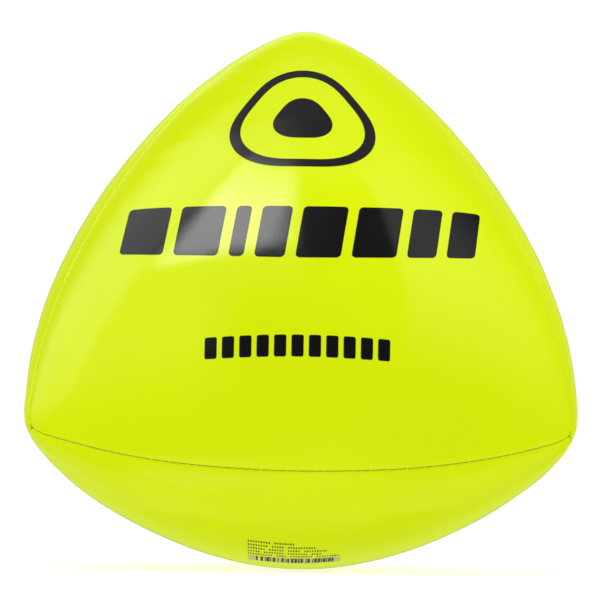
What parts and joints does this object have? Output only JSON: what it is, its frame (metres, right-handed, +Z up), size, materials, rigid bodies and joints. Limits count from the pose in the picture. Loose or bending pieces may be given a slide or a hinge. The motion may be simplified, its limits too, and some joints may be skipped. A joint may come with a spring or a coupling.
{
  "type": "reflex training ball",
  "caption": "Inflated training ball shaped like a swollen tetrahedron, with stitched glossy yellow panels, for practising reflexes on unforeseeable bounces.",
  "frame": {"origin": "centre of the ball, where the axes of its four panels meet", "axes": "+Z up to the tip of the top corner, with the ball resting on its bottom panel; -Y out of the ball on the side of the printed front panel; +X to the right, seen from the front"},
  "size_m": [0.2138, 0.2157, 0.2199],
  "materials": {
    "cover_skin": "high gloss",
    "backing_foam": "matt, closed-cell",
    "lining_cloth": "plain weave",
    "seam_thread": "twisted, slight sheen",
    "bladder_rubber": "matt",
    "valve_rubber": "satin",
    "valve_core_rubber": "satin",
    "black_ink": "gloss"
  },
  "bodies": {
    "root": {"front_panel": "cover_skin", "front_foam": "backing_foam", "front_lining": "lining_cloth", "bottom_panel": "cover_skin", "bottom_foam": "backing_foam", "bottom_lining": "lining_cloth", "left_panel": "cover_skin", "left_foam": "backing_foam", "left_lining": "lining_cloth", "right_panel": "cover_skin", "right_foam": "backing_foam", "right_lining": "lining_cloth", "front_bottom_seam": "seam_thread", "front_left_seam": "seam_thread", "front_right_seam": "seam_thread", "back_seam": "seam_thread", "bottom_left_seam": "seam_thread", "bottom_right_seam": "seam_thread", "bladder": "bladder_rubber", "valve_patch": "bladder_rubber", "valve_body": "valve_rubber", "valve_core": "valve_core_rubber", "emblem_print": "black_ink", "band_print": "black_ink", "line_print": "black_ink", "info_print": "black_ink"}
  },
  "joints": []
}
